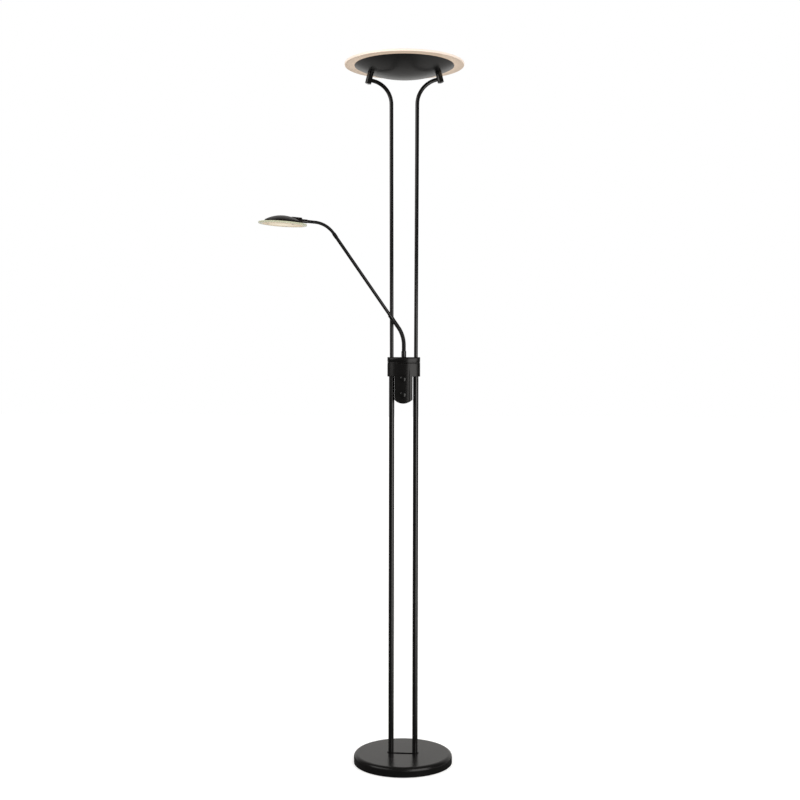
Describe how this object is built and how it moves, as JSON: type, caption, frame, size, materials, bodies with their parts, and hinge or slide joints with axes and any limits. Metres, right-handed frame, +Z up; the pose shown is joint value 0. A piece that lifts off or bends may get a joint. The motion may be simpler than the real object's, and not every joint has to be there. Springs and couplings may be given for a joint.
{
  "type": "torchiere floor lamp",
  "caption": "Torchiere floor lamp: round weighted base, twin poles joined by an oval dimmer housing, shallow uplighter pan under a wide glass disc, and a flexible reading arm.",
  "frame": {"origin": "centre of the pad under the round base, on the floor", "axes": "+Z up along the lamp's upright axis; -Y towards the front, where the dimmer knobs are; the poles stand along X"},
  "size_m": [0.5039, 0.3419, 1.795],
  "materials": {
    "black_paint": "gloss black stove enamel on steel",
    "cast_black": "gloss black enamel on die-cast aluminium",
    "housing_plastic": "gloss black moulded plastic",
    "knob_plastic": "glossy black",
    "iron": "bare grey iron",
    "zinc": "zinc-plated steel",
    "chrome": "bright plated steel",
    "cast_alloy": "bare aluminium",
    "brass": "turned brass",
    "felt": "dark foam-rubber sheet",
    "rubber": "black rubber",
    "silicone": "pale silicone",
    "pale_plastic": "off-white nylon",
    "circuit_board": "green board with parts",
    "circuit_white": "white metal-core board",
    "led": "yellow phosphor",
    "white_paint": "satin white reflector",
    "diffuser": "opal diffuser",
    "clear_glass": "clear, faint green",
    "frosted_glass": "satin-frosted, cream"
  },
  "bodies": {
    "stand": {"base_cover": "black_paint", "base_weight": "iron", "base_plate": "zinc", "base_pad": "felt", "plate_screws": "zinc", "cord_grommet": "rubber", "terminal_block": "pale_plastic", "foot_plate": "black_paint", "foot_nipples": "brass", "foot_nuts": "zinc", "pole_plugs": "brass", "lower_pole_left": "black_paint", "lower_pole_right": "black_paint", "upper_pole_left": "black_paint", "upper_pole_right": "black_paint", "dimmer_housing": "housing_plastic", "collar_lid": "housing_plastic", "dimmer_cover": "housing_plastic", "cover_screws": "zinc", "pole_clamp": "cast_alloy", "clamp_screws": "zinc", "dimmer_board": "circuit_board", "board_parts": "circuit_board", "potentiometer_upper": "zinc", "potentiometer_lower": "zinc", "potentiometer_nuts": "zinc", "arm_pivot": "brass", "swivel_washer": "pale_plastic", "fork_barrel_left": "cast_black", "fork_barrel_right": "cast_black", "barrel_nipples": "brass", "barrel_nuts": "zinc", "barrel_screws": "zinc", "uplight_pan": "black_paint", "uplight_chassis": "cast_alloy", "uplight_driver": "pale_plastic", "uplight_led_board": "circuit_white", "uplight_leds": "led", "uplight_reflector": "white_paint", "glass_gasket": "silicone", "glass_disc": "frosted_glass"},
    "knob_upper": {"knob_upper": "knob_plastic", "shaft_upper": "pale_plastic"},
    "knob_lower": {"knob_lower": "knob_plastic", "shaft_lower": "pale_plastic"},
    "arm_root": {"swivel_ferrule": "black_paint", "lower_gooseneck_root": "black_paint"},
    "arm": {"lower_gooseneck_tip": "black_paint", "lower_ferrule": "black_paint", "arm_tube": "black_paint", "upper_ferrule": "black_paint", "upper_gooseneck_root": "black_paint"},
    "head": {"upper_gooseneck_tip": "black_paint", "head_sleeve": "black_paint", "head_housing": "cast_black", "head_led_board": "cast_alloy", "head_leds": "led", "head_diffuser": "diffuser", "head_glass": "clear_glass", "head_screws": "chrome"}
  },
  "joints": [
    {"name": "knob_upper_turn", "type": "hinge", "parent": "stand", "child": "knob_upper", "pos_m": [0, -0.025, 0.9925], "axis": [0, 1, 0], "range_deg": [-270, 0]},
    {"name": "knob_lower_turn", "type": "hinge", "parent": "stand", "child": "knob_lower", "pos_m": [0, -0.025, 0.9525], "axis": [0, 1, 0], "range_deg": [-270, 0]},
    {"name": "arm_swing", "type": "hinge", "parent": "stand", "child": "arm_root", "pos_m": [0, 0, 1.0479], "axis": [0, 0, 1], "range_deg": [-2, 134]},
    {"name": "lower_gooseneck_bend", "type": "hinge", "parent": "arm_root", "child": "arm", "pos_m": [-0.00354, -0.00158, 1.10222], "axis": [0.4067, -0.9136, 0], "range_deg": [-30, 45]},
    {"name": "upper_gooseneck_bend", "type": "hinge", "parent": "arm", "child": "head", "pos_m": [-0.19098, -0.08503, 1.37559], "axis": [0.4067, -0.9136, 0], "range_deg": [-50, 60]}
  ]
}
